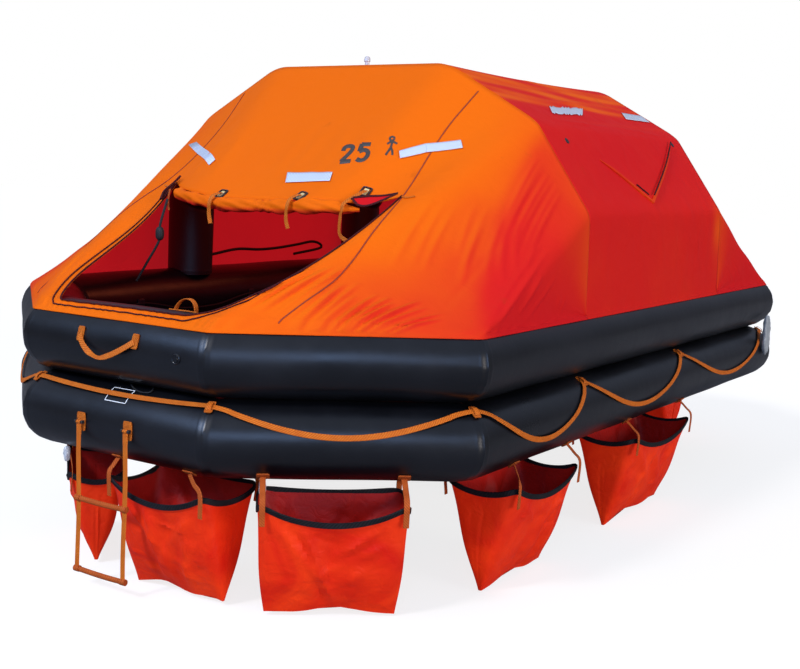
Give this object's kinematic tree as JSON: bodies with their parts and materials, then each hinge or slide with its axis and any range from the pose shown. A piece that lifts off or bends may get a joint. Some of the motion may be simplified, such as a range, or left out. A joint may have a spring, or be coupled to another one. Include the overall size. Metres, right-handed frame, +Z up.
{
  "type": "inflatable life raft",
  "caption": "Elongated octagonal liferaft: two stacked buoyancy tubes, arch-borne orange canopy with an entrance at each end, hanging water pockets and boarding ladders.",
  "frame": {"origin": "middle of the raft at its unladen waterline, 50 mm above the lower tube's underside", "axes": "+X along the raft towards the rear entrance, +Z up, +Y to starboard of the front entrance seen from inside"},
  "size_m": [5.6064, 2.9479, 2.4747],
  "materials": {
    "tube_rubber": "black rubber-coated fabric, satin, with glued seams",
    "canopy_fabric": "orange coated nylon, satin",
    "arch_rubber": "black rubber-coated fabric, satin",
    "floor_rubber": "black rubber-coated fabric",
    "pocket_fabric": "red-orange coated nylon, thin",
    "webbing": "orange woven polyester webbing",
    "black_cord": "black braided cord",
    "black_fitting": "black moulded plastic",
    "galvanised_steel": "galvanised",
    "lamp_plastic": "white moulded plastic",
    "cover_fabric": "grey coated fabric, crumpled"
  },
  "bodies": {
    "raft": {"arch_front": "arch_rubber", "arch_rear": "arch_rubber", "cabin_light": "lamp_plastic", "canopy_front": "canopy_fabric", "canopy_light": "lamp_plastic", "canopy_port": "canopy_fabric", "canopy_rear": "canopy_fabric", "canopy_roof": "canopy_fabric", "canopy_starboard": "canopy_fabric", "cylinder_band_1": "webbing", "cylinder_band_2": "webbing", "cylinder_valve": "black_fitting", "door_roll_front": "canopy_fabric", "door_roll_rear": "canopy_fabric", "floor": "floor_rubber", "gas_cylinder": "galvanised_steel", "grab_handle_front": "webbing", "grab_handle_rear": "webbing", "inflation_hose": "black_fitting", "inner_lifeline": "black_cord", "ladder_patch_front_1": "webbing", "ladder_patch_front_2": "webbing", "ladder_patch_rear_1": "webbing", "ladder_patch_rear_2": "webbing", "light_cell_1": "lamp_plastic", "light_cell_2": "lamp_plastic", "lower_tube": "tube_rubber", "outer_lifeline": "webbing", "rain_gutter_port": "canopy_fabric", "rain_gutter_starboard": "canopy_fabric", "relief_valve_front": "black_fitting", "relief_valve_rear": "black_fitting", "righting_straps": "webbing", "sill_loop_front": "webbing", "sill_loop_rear": "webbing", "tow_patch": "black_fitting", "upper_tube": "tube_rubber", "valve_cover": "cover_fabric", "water_pocket_front_corner": "pocket_fabric", "water_pocket_front_diagonal": "pocket_fabric", "water_pocket_front_end": "pocket_fabric", "water_pocket_front_inner": "pocket_fabric", "water_pocket_front_side": "pocket_fabric", "water_pocket_rear_corner": "pocket_fabric", "water_pocket_rear_diagonal": "pocket_fabric", "water_pocket_rear_end": "pocket_fabric", "water_pocket_rear_inner": "pocket_fabric", "water_pocket_rear_side": "pocket_fabric"},
    "ladder_front": {"boarding_ladder_front": "webbing"},
    "ladder_rear": {"boarding_ladder_rear": "webbing"}
  },
  "joints": [
    {"name": "ladder_front_swing", "type": "hinge", "parent": "raft", "child": "ladder_front", "pos_m": [-2.776, 0.0125, 0.12], "axis": [0, 1, 0], "range_deg": [-3, 75]},
    {"name": "ladder_rear_swing", "type": "hinge", "parent": "raft", "child": "ladder_rear", "pos_m": [2.776, -0.0125, 0.12], "axis": [0, -1, 0], "range_deg": [-3, 75]}
  ]
}
